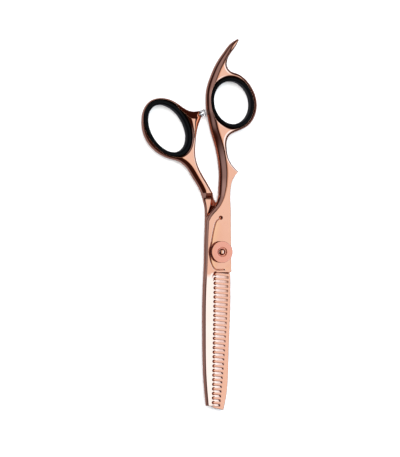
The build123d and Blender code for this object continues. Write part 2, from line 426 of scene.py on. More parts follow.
@cache
def material_of(finish: Finish) -> bpy.types.Material:
    """The material of a finish, made once and shared."""
    return finish.build()


def dress(thing: bpy.types.Object, finish: Finish) -> None:
    """Give an object one finish.

    Args:
        thing: the object, whose mesh is left alone.
        finish: what it is to look like.
    """
    if not thing.material_slots:
        thing.data.materials.append(None)
    for slot in thing.material_slots:
        slot.material = material_of(finish)


# ---------------------------------------------------------------- meshes


def mesh_object(name: str, points: Array, faces: list, normals: Array | None = None) -> bpy.types.Object:
    """Make an object from points in millimetres.

    Args:
        name: the object's name.
        points: places, one row each.
        faces: tuples of point numbers, turned so that they face outwards.
        normals: the surface's true normal at each point, or None to average the faces.

    Returns:
        The object, linked to the scene, smooth shaded.
    """
    mesh = bpy.data.meshes.new(name)
    mesh.from_pydata(np.asarray(points) * MM, [], faces)
    mesh.shade_smooth()
    if normals is not None:
        mesh.normals_split_custom_set_from_vertices(normals.tolist())
    mesh.update()
    thing = bpy.data.objects.new(name, mesh)
    bpy.context.scene.collection.objects.link(thing)
    return thing


def grid_faces(rows: int, columns: int, wrap_rows: bool, wrap_columns: bool) -> Array:
    """Quads of a grid of points numbered row by row.

    Args:
        rows: number of rows.
        columns: number of columns.
        wrap_rows: whether the last row joins the first.
        wrap_columns: whether the last column joins the first.

    Returns:
        One row of four point numbers for each quad.
    """
    row = np.arange(rows if wrap_rows else rows - 1)
    column = np.arange(columns if wrap_columns else columns - 1)
    r, c = (g.ravel() for g in np.meshgrid(row, column, indexing="ij"))
    r_next, c_next = (r + 1) % rows, (c + 1) % columns
    corners = (r * columns + c, r_next * columns + c, r_next * columns + c_next, r * columns + c_next)
    return np.stack(corners, axis=1)


def rounded_profile(corners: list[tuple[float, float, float]], steps: int = 5) -> Array:
    """A closed profile whose corners are rounded.

    Each corner is a quadratic curve between the two points that lie its radius away along its two sides, with
    the corner as the middle control point.

    Args:
        corners: (across, height, rounding) of each corner, in order.
        steps: points along each rounding.

    Returns:
        The profile's points.
    """
    place = np.array([c[:2] for c in corners], float)
    radius = np.array([c[2] for c in corners], float)[:, None]
    to_before = np.roll(place, 1, axis=0) - place
    to_after = np.roll(place, -1, axis=0) - place
    start = place + radius * to_before / np.linalg.norm(to_before, axis=1, keepdims=True)
    end = place + radius * to_after / np.linalg.norm(to_after, axis=1, keepdims=True)
    t = np.linspace(0.0, 1.0, steps)[None, :, None]
    curve = start[:, None] * (1 - t) ** 2 + 2 * place[:, None] * t * (1 - t) + end[:, None] * t**2
    return curve.reshape(-1, 2)


def lathe(name: str, profile: Array, segments: int = 160) -> bpy.types.Object:
    """Turn a closed profile about the pivot's axis.

    A point (across, height) of the profile becomes (across cos a, across sin a, height) for every angle a.

    Args:
        name: the object's name.
        profile: the closed profile, counter-clockwise in the plane of across and height.
        segments: divisions of the circle.

    Returns:
        The turned piece.
    """
    angle = np.linspace(0.0, 2 * np.pi, segments, endpoint=False)[:, None]
    across, height = profile[:, 0][None], profile[:, 1][None]
    places = np.stack([across * np.cos(angle), across * np.sin(angle), height + 0 * angle], axis=2)
    faces = grid_faces(segments, len(profile), True, True)
    return mesh_object(name, places.reshape(-1, 3), faces.tolist())


# ---------------------------------------------------------------- plans


@dataclass(frozen=True)
class Bevel:
    """How a face falls to its edge: over a width, by a drop. Flatness 0 is a quarter circle, 1 a flat facet.

    A ridge above 0 is the extra width of a gentle facet that eases the bevel into the face.
    """

    width: float
    drop: float
    flatness: float = 0.3
    ridge: float = 0.0


Bevels = list[tuple[float, Bevel]]


def even(width: float, drop: float, flatness: float = 0.3) -> Bevels:
    """The same bevel all along a run."""
    return [(0.0, Bevel(width, drop, flatness))]


def changing(*rows: tuple[float, ...]) -> Bevels:
    """A bevel that changes along a run, from rows of y, width, drop, flatness and ridge, in rising y."""
    return [(row[0], Bevel(*row[1:])) for row in rows]


def natural_spline(points: tuple, spacing: float) -> tuple[Array, Array]:
    """The natural cubic spline through some points, over the chord length.

    Args:
        points: the points that it passes.
        spacing: distance between the samples.

    Returns:
        Evenly spaced samples, and the unit tangents there.
    """
    knots = np.array(points, float)
    chord = np.r_[0.0, np.cumsum(np.linalg.norm(np.diff(knots, axis=0), axis=1))]
    step = np.diff(chord)
    count = len(knots)
    system = np.eye(count)
    right = np.zeros((count, 2))
    inner = np.arange(1, count - 1)
    system[inner, inner - 1] = step[:-1]
    system[inner, inner] = 2 * (step[:-1] + step[1:])
    system[inner, inner + 1] = step[1:]
    slope = np.diff(knots, axis=0) / step[:, None]
    right[inner] = 6 * np.diff(slope, axis=0)
    bend = np.linalg.solve(system, right)

    def evaluate(u: Array) -> tuple[Array, Array]:
        """Places and derivatives at chord lengths u."""
        k = np.clip(np.searchsorted(chord, u, side="right") - 1, 0, count - 2)
        h, a, b = step[k][:, None], (chord[k + 1] - u)[:, None], (u - chord[k])[:, None]
        low, high = bend[k], bend[k + 1]
        from_start = knots[k] / h - low * h / 6
        from_end = knots[k + 1] / h - high * h / 6
        place = (low * a**3 + high * b**3) / (6 * h) + from_start * a + from_end * b
        rate = (high * b**2 - low * a**2) / (2 * h) - from_start + from_end
        return place, rate

    fine = np.linspace(0.0, chord[-1], 40 * count)
    length = np.r_[0.0, np.cumsum(np.linalg.norm(np.diff(evaluate(fine)[0], axis=0), axis=1))]
    samples = max(2, round(length[-1] / spacing) + 1)
    place, rate = evaluate(np.interp(np.linspace(0.0, length[-1], samples), length, fine))
    return place, rate / np.linalg.norm(rate, axis=1, keepdims=True)


class Run:
    """One smooth stretch of a plan's loop, with the solid on its left, and the bevels along it."""

    def __init__(
        self,
        places: Array,
        tangents: Array,
        front: Bevels,
        back: Bevels,
        closed: bool = False,
    ) -> None:
        """Keep the samples.

        Args:
            places: points along the run.
            tangents: unit tangents there.
            front: the front face's bevels.
            back: the back face's bevels.
            closed: whether the last point is the first.
        """
        self.places = places
        self.inward = np.stack([-tangents[:, 1], tangents[:, 0]], axis=1)
        self.bevels = {Face.FRONT: front, Face.BACK: back}
        self.closed = closed

    @classmethod
    def curve(cls, points: tuple, front: Bevels, back: Bevels, spacing: float = 0.3) -> "Run":
        """A run on a spline through the points."""
        return cls(*natural_spline(points, spacing), front, back)

    @classmethod
    def line(cls, start: tuple, end: tuple, front: Bevels, back: Bevels, spacing: float = 0.3) -> "Run":
        """A straight run.

        Args:
            start: where it starts.
            end: where it ends.
            front: the front face's bevels.
            back: the back face's bevels.
            spacing: distance between the samples.

        Returns:
            The run.
        """
        start, end = np.array(start, float), np.array(end, float)
        length = float(np.linalg.norm(end - start))
        t = np.linspace(0.0, 1.0, max(2, round(length / spacing) + 1))[:, None]
        tangents = np.repeat(((end - start) / length)[None], len(t), axis=0)
        return cls(start + (end - start) * t, tangents, front, back)

    @classmethod
    def ellipse(
        cls,
        centre: tuple,
        radii: tuple,
        tilt: float,
        angles: tuple,
        front: Bevels,
        back: Bevels,
        spacing: float = 0.3,
    ) -> "Run":
        """An arc of an ellipse, the points (a cos t, b sin t) turned by the tilt; a full turn is closed.

        Args:
            centre: its centre.
            radii: its half axes a and b.
            tilt: its turn in degrees.
            angles: the first and last t in degrees.
            front: the front face's bevels.
            back: the back face's bevels.
            spacing: distance between the samples.

        Returns:
            The run.
        """
        whole = abs(abs(angles[1] - angles[0]) - 360.0) < 1e-6
        length = math.radians(abs(angles[1] - angles[0])) * sum(radii) / 2
        a = np.radians(np.linspace(*angles, max(8, round(length / spacing) + 1)))
        turn = math.radians(tilt)
        way = math.copysign(1.0, angles[1] - angles[0])
        local = np.stack([radii[0] * np.cos(a), radii[1] * np.sin(a)], axis=1)
        rate = way * np.stack([-radii[0] * np.sin(a), radii[1] * np.cos(a)], axis=1)
        rotation = np.array([[math.cos(turn), math.sin(turn)], [-math.sin(turn), math.cos(turn)]])
        rate = rate / np.linalg.norm(rate, axis=1, keepdims=True)
        return cls(local @ rotation + np.array(centre), rate @ rotation, front, back, whole)

    def bevel_at(self, y: Array, face: Face) -> tuple[Array, Array, Array, Array]:
        """Width, drop, flatness and ridge of the bevel where the run is at height y in the plan.

        Args:
            y: heights in the plan.
            face: which face.

        Returns:
            One array for each of the four, in that order.
        """
        keys = self.bevels[face]
        at = [k[0] for k in keys]
        parts = ("width", "drop", "flatness", "ridge")
        return tuple(np.interp(y, at, [getattr(k[1], part) for k in keys]) for part in parts)

    def reach(self, face: Face) -> float:
        """The widest bevel along the run."""
        return max(bevel.width + bevel.ridge for _, bevel in self.bevels[face])

    def nearest(self, points: Array) -> tuple[Array, Array, Array]:
        """Measure points against the run.

        Args:
            points: places in the plan.

        Returns:
            The distance to the run, the unit direction away from it, smoothed along it, and the y of the
            nearest place.
        """
        start, along = self.places[:-1], np.diff(self.places, axis=0)
        square = (along**2).sum(1)
        distance, away, nearest_y = np.empty(len(points)), np.empty((len(points), 2)), np.empty(len(points))
        for low in range(0, len(points), 4000):
            part = slice(low, low + 4000)
            offset = points[part, None] - start[None]
            t = np.clip((offset * along).sum(2) / square, 0.0, 1.0)
            gap = offset - t[..., None] * along
            pick = (gap**2).sum(2).argmin(1)
            row = np.arange(len(pick))
            t_pick, gap_pick = t[row, pick], gap[row, pick]
            length = np.linalg.norm(gap_pick, axis=1)
            smooth = self.inward[pick] * (1 - t_pick)[:, None] + self.inward[pick + 1] * t_pick[:, None]
            if not self.closed:
                beyond = ((pick == 0) & (t_pick <= 0)) | ((pick == len(start) - 1) & (t_pick >= 1))
                beyond &= length > 1e-4
                smooth[beyond] = gap_pick[beyond]
            away[part] = smooth / np.linalg.norm(smooth, axis=1, keepdims=True)
            distance[part] = length
            nearest_y[part] = self.places[pick, 1] * (1 - t_pick) + self.places[pick + 1, 1] * t_pick
        return distance, away, nearest_y


# The slope of a bevel's ridge, and the share of a quarter circle past which its slope would run away.
RIDGE_SLOPE = math.tan(math.radians(12.0))
ALMOST_ONE = 0.99995


def bevel_depth(
    distance: Array, width: Array, drop: Array, flatness: Array, ridge: Array
) -> tuple[Array, Array]:
    """What a bevel takes off a face at a distance from the edge, and how fast that shrinks inwards.

    The bevel's rise over its width is a quarter circle, sqrt(1 - (1 - t)^2), mixed with the straight line t
    by the flatness. The ridge is a plane at a fixed slope that ends its own width further in. The deeper of
    the two counts.

    Args:
        distance: distances from the edge.
        width: width of the bevel at each.
        drop: its drop.
        flatness: its flatness.
        ridge: extra width of the ridge.

    Returns:
        Depths and their slopes, both at least 0.
    """
    t = np.clip(distance / width, 0.0, 1.0)
    rest = np.clip(1.0 - t, 0.0, ALMOST_ONE)
    circle = np.sqrt(1.0 - rest**2)
    depth = np.where(distance < width, drop * (1 - (1 - flatness) * circle - flatness * t), 0.0)
    slope = drop / width * ((1 - flatness) * rest / circle + flatness)
    gentle = np.where(ridge > 0.01, RIDGE_SLOPE * (width + ridge - distance), 0.0)
    over = gentle > depth
    depth, slope = np.where(over, gentle, depth), np.where(over, RIDGE_SLOPE, slope)
    return np.maximum(depth, 0.0), np.where(depth > 0.0, slope, 0.0)


def smooth_step(value: Array, low: float, high: float) -> Array:
    """0 below low, 1 above high, and 3t^2 - 2t^3 between."""
    t = np.clip((value - low) / (high - low), 0.0, 1.0)
    return t * t * (3 - 2 * t)


class Forging:
    """One half of the shears: a plan, a level for each face, and the faces' small details.

    The grid is the spacing of a flat's inner points, and the pair gap is how far from a ridge the points of
    its pairs lie.
    """

    name = "forging"
    grid = 0.7
    bevel_rows = 9
    pair_gap = 0.03
    ring_centre: tuple
    ring_tilt: float
    seat: tuple
    ring_hole: tuple

    def loop(self) -> list[Run]:
        """The runs of the outer loop, counter-clockwise."""
        raise NotImplementedError

    def holes(self) -> list[Run]:
        """The closed runs of the openings, clockwise."""
        raise NotImplementedError

    def level(self, points: Array, face: Face) -> Array:
        """Height of a face away from its edges."""
        raise NotImplementedError

    def detail_points(self, face: Face) -> Array:
        """Extra points where the level changes quickly."""
        return np.zeros((0, 2))

    def drop(self, runs: list[Run], points: Array, face: Face) -> tuple[Array, Array]:
        """How much the bevels take off, and which way it grows.

        Each run takes off its bevel's depth. The deepest counts, so two bevels meet in a ridge.

        Args:
            runs: every run of the plan.
            points: places in the plan.
            face: which face.

        Returns:
            The depth taken off, and its gradient.
        """
        depth, gradient = np.zeros(len(points)), np.zeros((len(points), 2))
        for run in runs:
            reach = run.reach(face) + 0.01
            low, high = run.places.min(0) - reach, run.places.max(0) + reach
            inside = np.flatnonzero(((points > low) & (points < high)).all(1))
            if not len(inside):
                continue
            distance, away, y = run.nearest(points[inside])
            taken, slope = bevel_depth(distance, *run.bevel_at(y, face))
            better = taken > depth[inside]
            chosen = inside[better]
            depth[chosen] = taken[better]
            gradient[chosen] = -slope[better, None] * away[better]
        return depth, gradient

    def surface(self, runs: list[Run], points: Array, face: Face) -> tuple[Array, Array]:
        """Heights and outward normals of a face at places in the plan.

        Args:
            runs: every run of the plan.
            points: the places.
            face: which face.

        Returns:
            The heights, and a unit normal at each place.
        """
        depth, gradient = self.drop(runs, points, face)
        sign = face.value
        h = 0.01
        slope_x = (self.level(points + [h, 0], face) - self.level(points - [h, 0], face)) / (2 * h)
        slope_y = (self.level(points + [0, h], face) - self.level(points - [0, h], face)) / (2 * h)
        height = self.level(points, face) - sign * depth
        slope = np.stack([slope_x, slope_y], axis=1) - sign * gradient
        normal = sign * np.column_stack([-slope, np.ones(len(points))])
        return height, normal / np.linalg.norm(normal, axis=1, keepdims=True)

    def bevel_points(self, runs: list[Run], run: Run, face: Face) -> list[Array]:
        """Points on one run's bevel: rows along it, and pairs beside the ridges where another takes over.

        Args:
            runs: every run of the plan.
            run: the run whose bevel is covered.
            face: which face.

        Returns:
            The rows' points, and the points before and after each ridge.
        """
        width, drop, flatness, ridge = run.bevel_at(run.places[:, 1], face)
        rows = max(3, min(self.bevel_rows, round(4 + run.reach(face) * 3)))
        # The rows crowd towards the edge, where the bevel is steepest. Two stand just about its inner end.
        share = 1 - np.cos(np.linspace(0.0, np.pi / 2, rows + 1)[1:])
        share = np.r_[share[:-1], 0.97]
        ends = width + ridge
        inset = np.vstack([width[None] * share[:, None], ends - 0.02, ends + 0.03])
        row_points = run.places[None] + run.inward[None] * inset[..., None]
        shape = inset.shape
        flat_points = row_points.reshape(-1, 2)
        distance = run.nearest(flat_points)[0].reshape(shape)
        mine = bevel_depth(inset, *(np.broadcast_to(v, shape) for v in (width, drop, flatness, ridge)))[0]
        others = self.drop([r for r in runs if r is not run], flat_points, face)[0].reshape(shape)
        # A point is kept where this run is the nearest one and its bevel the deepest.
        good = (np.abs(distance - inset) < 0.01 + 0.02 * inset) & (mine >= others - 1e-6)
        good &= self.within(runs, flat_points, 0.02).reshape(shape)
        lead = (mine - others)[:-1]
        behind = (mine - others)[1:]
        meets = good[:-1] & (lead > 0.0) & (behind < 0.0)
        meeting = self.meeting_places(runs, run, face, inset, lead, behind, meets)
        column = np.nonzero(meets)[1]
        crowded = np.zeros(shape, bool)
        crowded[:-1][meets] = meeting - inset[:-1][meets] < 0.08
        pairs = [
            run.places[column] + run.inward[column] * (meeting + side)[:, None]
            for side in (-self.pair_gap, self.pair_gap)
        ]
        return [row_points[good & ~crowded], *pairs]

    def plain_points(self, runs: list[Run], face: Face) -> Array:
        """A triangular grid of points on a face's flat.

        Args:
            runs: every run of the plan.
            face: which face.

        Returns:
            The points that are clear of every bevel.
        """
        low = np.min([r.places.min(0) for r in runs], axis=0)
        high = np.max([r.places.max(0) for r in runs], axis=0)
        x, y = np.meshgrid(np.arange(low[0], high[0], self.grid), np.arange(low[1], high[1], self.grid))
        x = x + (np.arange(len(x)) % 2)[:, None] * self.grid / 2
        plain = np.column_stack([x.ravel(), y.ravel()])
        plain = plain[self.within(runs, plain, 0.25)]
        return plain[self.clear_of_rows(runs, plain, face)]

    def face_points(self, runs: list[Run], face: Face) -> Array:
        """Inner points of a face: those of its bevels, of its flat, and of its details.

        Args:
            runs: every run of the plan.
            face: which face.

        Returns:
            The points.
        """
        kept = [points for run in runs for points in self.bevel_points(runs, run, face)]
        details = self.detail_points(face)
        details = details[self.within(runs, details, 0.05)]
        return np.vstack([*kept, self.plain_points(runs, face), details])

    def meeting_places(
        self, runs: list[Run], run: Run, face: Face, inset: Array, lead: Array, behind: Array, meets: Array
    ) -> Array:
        """Find how far in from a run its bevel meets another one, by false position.

        Args:
            runs: every run of the plan.
            run: the run whose bevel is followed inwards.
            face: which face.
            inset: distances in from the run, row by row.
            lead: how much deeper this bevel is than the others at each row but the last.
            behind: the same at each row but the first.
            meets: where the two bevels swap between one row and the next.

        Returns:
            The distance in for each True of meets.
        """
        column = np.nonzero(meets)[1]
        near, far = inset[:-1][meets], inset[1:][meets]
        near_lead, far_lead = lead[meets], behind[meets]
        bevel = [part[column] for part in run.bevel_at(run.places[:, 1], face)]
        rest = [r for r in runs if r is not run]
        # Each step stays off both ends of the bracket, so that the bracket keeps shrinking.
        for _ in range(4):
            middle = near + (far - near) * np.clip(near_lead / (near_lead - far_lead), 0.05, 0.95)
            points = run.places[column] + run.inward[column] * middle[:, None]
            gain = bevel_depth(middle, *bevel)[0] - self.drop(rest, points, face)[0]
            before = gain > 0.0
            near, near_lead = np.where(before, middle, near), np.where(before, gain, near_lead)
            far, far_lead = np.where(before, far, middle), np.where(before, far_lead, gain)
        return near + (far - near) * near_lead / np.maximum(near_lead - far_lead, 1e-9)

    def clear_of_rows(self, runs: list[Run], points: Array, face: Face) -> Array:
        """Whether each point is on the flat, clear of every bevel.

        Args:
            runs: every run of the plan.
            points: places in the plan.
            face: which face.

        Returns:
            A truth value for each point.
        """
        clear = np.ones(len(points), bool)
        for run in runs:
            distance, _, y = run.nearest(points)
            width, _, _, ridge = run.bevel_at(y, face)
            clear &= distance > width + ridge + 0.25 * self.grid
        return clear

    @staticmethod
    def within(runs: list[Run], points: Array, margin: float) -> Array:
        """Whether each point is inside the plan by a margin: an odd count of crossings, clear of each run.

        Args:
            runs: every run of the plan.
            points: places in the plan.
            margin: the least distance from every run.

        Returns:
            A truth value for each point.
        """
        if not len(points):
            return np.zeros(0, bool)
        every_start = np.vstack([r.places[:-1] for r in runs])
        every_end = np.vstack([r.places[1:] for r in runs])
        low_y = np.minimum(every_start[:, 1], every_end[:, 1]) - margin
        high_y = np.maximum(every_start[:, 1], every_end[:, 1]) + margin
        order = points[:, 1].argsort()
        good = np.zeros(len(points), bool)
        for part in np.array_split(order, len(points) // 500 + 1):
            x, y = points[part, 0][:, None], points[part, 1][:, None]
            close = (low_y <= y.max()) & (high_y >= y.min())
            start, end = every_start[close], every_end[close]
            spans = (start[:, 1] > y) != (end[:, 1] > y)
            rise = np.where(end[:, 1] == start[:, 1], 1e-9, end[:, 1] - start[:, 1])
            crossing = start[:, 0] + (y - start[:, 1]) * (end[:, 0] - start[:, 0]) / rise
            inside = ((spans & (x < crossing)).sum(1) % 2) == 1
            if margin > 0 and close.any():
                along = end - start
                offset_x, offset_y = x - start[:, 0], y - start[:, 1]
                t = np.clip((offset_x * along[:, 0] + offset_y * along[:, 1]) / (along**2).sum(1), 0, 1)
                gap = (offset_x - t * along[:, 0]) ** 2 + (offset_y - t * along[:, 1]) ** 2
                inside &= gap.min(1) > margin**2
            good[part] = inside
        return good

    def build(self) -> bpy.types.Object:
        """Mesh the forging.

        Each face is the Delaunay triangulation of the loop, the openings and the face's inner points, lifted
        to the face's height. A wall joins the two faces along every edge of the loop and the openings.

        Returns:
            The closed mesh.
        """
        outer, holes = self.loop(), self.holes()
        runs = outer + holes
        rings = [np.vstack([r.places[:-1] for r in outer])] + [h.places[:-1] for h in holes]
        edge = np.vstack(rings)
        outward = -np.vstack([r.inward[:-1] for r in runs])
        starts = np.cumsum([0] + [len(r) for r in rings])
        pairs = [
            (low + i, low + (i + 1) % (high - low))
            for low, high in zip(starts[:-1], starts[1:])
            for i in range(high - low)
        ]
        points, normals, faces = [], [], []
        total = 0
        rim = {}
        for face in Face:
            inner = self.face_points(runs, face)
            plan = np.vstack([edge, inner])
            flat = [Vector(p) for p in plan.tolist()]
            made, _, triangles, origins, *_ = delaunay_2d_cdt(flat, pairs, [], 0, 1e-6, True)
            places = np.array([v[:] for v in made])
            triangles = np.array(triangles)
            centre = places[triangles].mean(1)
            triangles = triangles[self.within(runs, centre, 0.0)]
            where = np.full(len(plan), -1)
            for number, origin in enumerate(origins):
                where[origin] = number
            height, normal = self.surface(runs, places, face)
            rim[face] = where[: len(edge)] + total
            normal[where[: len(edge)]] = np.column_stack([outward, np.zeros(len(edge))])
            points.append(np.column_stack([places, height]))
            normals.append(normal)
            faces += (triangles[:, :: face.value] + total).tolist()
            total += len(places)
        first, second = np.array(pairs).T
        front, back = rim[Face.FRONT], rim[Face.BACK]
        faces += np.column_stack([back[first], back[second], front[second], front[first]]).tolist()
        thing = mesh_object(self.name, np.vstack(points), faces, np.vstack(normals))
        dress(thing, ROSE_GOLD)
        log.info("%s: %d points, %d faces", self.name, total, len(faces))
        return thing


# ---------------------------------------------------------------- the two forgings


@dataclass
class FingerHalf(Forging):
    """Front half: tang, finger ring, spur, pivot plate and toothed blade."""

    name: str = "finger_half_polished"
    top: float = 6.7
    handle_top: float = 6.15
    handle_low: float = 0.35
    cut_face: float = 3.3
    blade_start: float = -9.1
    ring_centre: tuple = (5.92, 67.55)
    ring_tilt: float = 107.0
    seat: tuple = (11.5, 9.7)
    ring_hole: tuple = (9.74, 8.42)
    bore: float = 3.1
    pitch: float = 2.075
    first_slot: float = -10.0
    slots: int = 29
    slot_half: float = 0.42
    root_radius: float = 0.43
    pit_radius: float = 0.82
    pit_back: float = 0.65
    pit_steepness: float = 1.1
    notch_radii: tuple = (0.36, 0.85)
    notch_in: float = 0.45
    notch_down: float = 0.2
    notch_steepness: float = 0.9
    root_x: tuple = (-1.6, -2.4)
    slot_lean: float = math.radians(5.0)
    tips: tuple = ((0.45, -70.3), (2.4, -50.0), (3.7, -31.7), (4.75, -9.1))
    crease_x: float = -1.7
    grind_x: float = -7.7
    grind_y: float = -9.25
    back_fall: float = 0.158
    tooth_fall: float = 0.22
    tooth_bend: float = 0.012
    nose_fall: float = 0.5
    nose_span: tuple = (20.0, 72.0)
    tang_falls: tuple = (1.1, 1.2)
    tang_span: tuple = (84.0, 97.5)
    step_span: tuple = (16.0, 34.0)
    deep_span: tuple = (23.0, 30.0)
    dimple: tuple = (0.1, 15.45)
    dimple_radius: float = 0.95
    dimple_depth: float = 0.95
    hollow_deep: float = 0.24
    hollow_reach: float = 4.0
    hollow_top: tuple = (-15.2, -12.8)
    hollow_foot: tuple = (-8.6, -7.9)
    groove_deep: float = 0.26
    groove_width: float = 0.22
    groove_end: tuple = (1.2, 2.2)
    hollow_line: tuple = (
        (-0.6, 15.0), (-1.7, 14.2), (-2.45, 12.7), (-3.0, 10.8), (-3.55, 8.3), (-4.1, 5.0), (-4.6, 1.0),
        (-4.75, -2.5), (-4.3, -5.0), (-3.3, -7.0), (-2.3, -7.85), (-0.8, -8.05), (1.8, -7.95),
    )
    back_handle: tuple = (
        (8.85, 96.5), (5.8, 94.4), (3.0, 91.0), (0.42, 87.4), (-1.68, 83.8), (-3.32, 80.2), (-4.73, 76.6),
        (-5.76, 72.3), (-5.99, 68.2), (-5.76, 64.1), (-4.96, 60.1), (-4.02, 55.6), (-2.62, 51.0),
        (-1.22, 46.1), (-0.28, 41.1), (0.28, 35.2), (0.14, 29.8), (-0.42, 24.8), (-2.15, 20.7),
        (-4.9, 17.2), (-6.4, 14.2),
    )
    back_blade: tuple = (
        (-6.4, 14.2), (-6.75, 7.0), (-7.0, -4.5), (-7.6, -18.0), (-7.75, -38.0), (-7.3, -56.0),
        (-6.13, -69.5),
    )
    spur: tuple = ((4.85, 20.0), (4.7, 24.0), (4.85, 28.0), (5.5, 31.5), (6.7, 34.0), (8.6, 36.3))
    inner_side: tuple = (
        (8.6, 36.3), (5.4, 39.8), (3.8, 43.3), (3.25, 47.0), (3.35, 50.0), (4.4, 52.4), (7.2, 54.2),
        (11.0, 55.7), (14.4, 57.9), (17.0, 61.8), (17.9, 66.2), (17.3, 70.6), (15.2, 75.0), (12.0, 78.5),
        (8.4, 80.7), (4.7, 82.1), (3.35, 84.6), (3.6, 86.9), (5.2, 89.8), (7.5, 92.8), (9.3, 96.0),
    )

    def tip_x(self, y: float) -> float:
        """Where the line of the tooth tips is at a height in the plan."""
        return float(np.interp(y, [p[1] for p in self.tips], [p[0] for p in self.tips]))

    def root(self, k: int) -> Array:
        """Centre of the round end of slot k, counted from the pivot."""
        x = self.root_x[0] + (self.root_x[1] - self.root_x[0]) * k / self.slots
        return np.array([x, self.first_slot - self.pitch * k])

    def slot_axes(self) -> tuple[Array, Array]:
        """Unit vectors along a slot, towards the tips, and across it, towards the pivot."""
        along = np.array([math.cos(self.slot_lean), -math.sin(self.slot_lean)])
        return along, np.array([-along[1], along[0]])

    def mouth(self, k: int, side: int) -> Array:
        """Where the upper (1) or lower (-1) edge of slot k meets the line of the tips.

        Args:
            k: the slot's number, from the pivot.
            side: which edge.

        Returns:
            The place in the plan.
        """
        along, across = self.slot_axes()
        start = self.root(k) + side * self.slot_half * across
        reach = (self.tip_x(start[1] - 0.4) - start[0]) / along[0]
        return start + reach * along

    def teeth(self) -> list[Run]:
        """Tips, slot sides and slot ends, from the nose up to the shoulder."""
        upper, lower = even(0.03, 0.02, 0.5), changing((-70.0, 0.24, 0.22, 0.6), (-12.0, 0.08, 0.07, 0.6))
        round_end, tip, back = even(0.05, 0.04, 0.5), even(0.22, 0.2, 0.6), even(0.05, 0.03, 0.5)
        along, across = self.slot_axes()
        neck = math.sqrt(self.root_radius**2 - self.slot_half**2)
        opening = math.degrees(math.atan2(self.slot_half, neck))
        angles = (-opening, opening - 360.0)
        radii = (self.root_radius, self.root_radius)
        lean = -math.degrees(self.slot_lean)
        runs = []
        last = self.mouth(self.slots, 1)
        for k in range(self.slots - 1, -1, -1):
            centre = self.root(k)
            low, high = self.mouth(k, -1), self.mouth(k, 1)
            low_neck = centre + neck * along - self.slot_half * across
            high_neck = centre + neck * along + self.slot_half * across
            runs += [
                Run.line(last, low, tip, back, 0.25),
                Run.line(low, low_neck, lower, back, 0.35),
                Run.ellipse(centre, radii, lean, angles, round_end, back, 0.16),
                Run.line(high_neck, high, upper, back, 0.35),
            ]
            last = high
        runs.append(Run.line(last, self.tips[-1], tip, back))
        return runs

    def loop(self) -> list[Run]:
        """Back of tang, shank and blade, the nose, the teeth, and the inner side up to the tang."""
        shank_front = changing(
            (14.2, 1.1, 0.72, 0.7), (18.0, 1.4, 1.1, 0.6), (24.0, 2.1, 1.8, 0.6, 0.2),
            (30.0, 3.0, 2.4, 0.6, 0.3), (36.0, 3.3, 2.6, 0.6, 0.3), (46.0, 3.4, 2.65, 0.6, 0.25),
            (54.0, 3.3, 2.65, 0.5, 0.2), (64.0, 3.2, 2.65, 0.4, 0.2), (78.0, 2.7, 2.3, 0.5, 0.3),
            (86.0, 2.6, 2.1, 0.5, 0.3), (92.0, 2.3, 1.7, 0.4, 0.2), (96.5, 0.6, 0.8, 0.1),
        )
        shank_back = changing(
            (14.2, 0.2, 0.12, 0.5), (24.0, 0.3, 0.2, 0.5), (30.0, 2.4, 2.0, 0.3), (54.0, 3.0, 2.5, 0.3),
            (64.0, 3.4, 2.6, 0.25), (78.0, 2.6, 2.2, 0.3), (90.0, 1.8, 1.4, 0.2), (96.5, 0.5, 0.5, 0.1),
        )
        blade_front = changing(
            (-69.5, 0.85, 0.6, 0.85), (-7.0, 0.95, 0.67, 0.85), (-2.0, 1.0, 0.7, 0.8), (14.2, 1.1, 0.72, 0.7)
        )
        inner = changing(
            (36.3, 0.6, 0.5, 0.1), (44.0, 1.4, 0.8, 0.0), (51.0, 2.2, 1.2, 0.0), (55.0, 2.4, 1.8, 0.0),
            (60.0, 3.2, 2.7, 0.2), (74.0, 3.2, 2.7, 0.2), (78.5, 2.2, 1.9, 0.0), (82.0, 1.9, 1.2, 0.0),
            (86.0, 1.6, 1.1, 0.0), (92.0, 1.1, 1.2, 0.1), (96.0, 0.5, 0.8, 0.1),
        )
        plate_front, plate_back = even(0.14, 0.14, 0.5), even(0.15, 0.1, 0.5)
        spur_back = changing((20.0, 0.15, 0.1, 0.5), (32.0, 0.5, 0.45, 0.3))
        tang_end = even(0.5, 0.8, 0.1)
        nose_end = self.mouth(self.slots, 1)
        shoulder = (5.1, self.blade_start)
        return [
            Run.curve(self.back_handle, shank_front, shank_back),
            Run.curve(self.back_blade, blade_front, plate_back),
            Run.line(self.back_blade[-1], nose_end, even(0.2, 0.15, 0.4), plate_back),
            *self.teeth(),
            Run.line(self.tips[-1], shoulder, plate_back, plate_back, 0.15),
            Run.line(shoulder, self.spur[0], plate_front, plate_back),
            Run.curve(self.spur, plate_front, spur_back),
            Run.curve(self.inner_side, inner, inner),
            Run.line(self.inner_side[-1], self.back_handle[0], tang_end, tang_end, 0.15),
        ]

    def holes(self) -> list[Run]:
        """The insert's seat and the pivot's bore."""
        lip, edge = even(1.3, 1.1), even(0.3, 0.25, 0.2)
        return [
            Run.ellipse(self.ring_centre, self.seat, self.ring_tilt, (360.0, 0.0), lip, lip),
            Run.ellipse((0.0, 0.0), (self.bore, self.bore), 0.0, (360.0, 0.0), edge, edge),
        ]

    def hollow(self) -> Run:
        """The line that the shallow hollow round the pivot ends at, its low side on the left."""
        return Run.curve(self.hollow_line, even(1.0, 0.0), even(1.0, 0.0))

